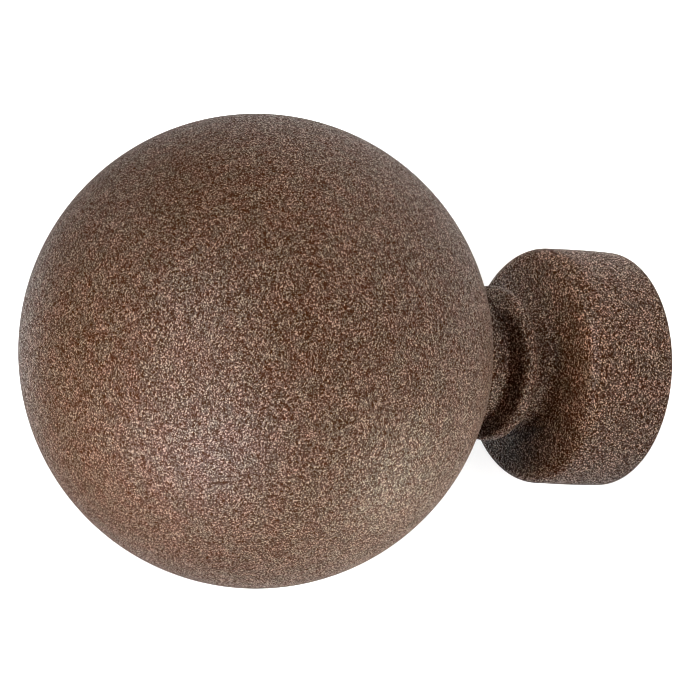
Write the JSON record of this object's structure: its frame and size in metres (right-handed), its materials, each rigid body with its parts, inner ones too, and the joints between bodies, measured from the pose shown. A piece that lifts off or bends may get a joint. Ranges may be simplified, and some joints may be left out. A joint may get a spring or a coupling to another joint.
{
  "type": "curtain rod finial",
  "caption": "Ball finial for the end of a curtain rod, with a ringed neck and a short round socket that slips over the rod's end.",
  "frame": {"origin": "middle of the socket's rim, the plane that the finial stands on", "axes": "+Z along the turned axis from the rim to the top of the ball, X and Y across it"},
  "size_m": [0.06, 0.06, 0.0845],
  "materials": {
    "bronze_coat": "satin dark bronze coat with a fine metallic speckle"
  },
  "bodies": {
    "root": {"ball_finial": "bronze_coat"}
  },
  "joints": []
}
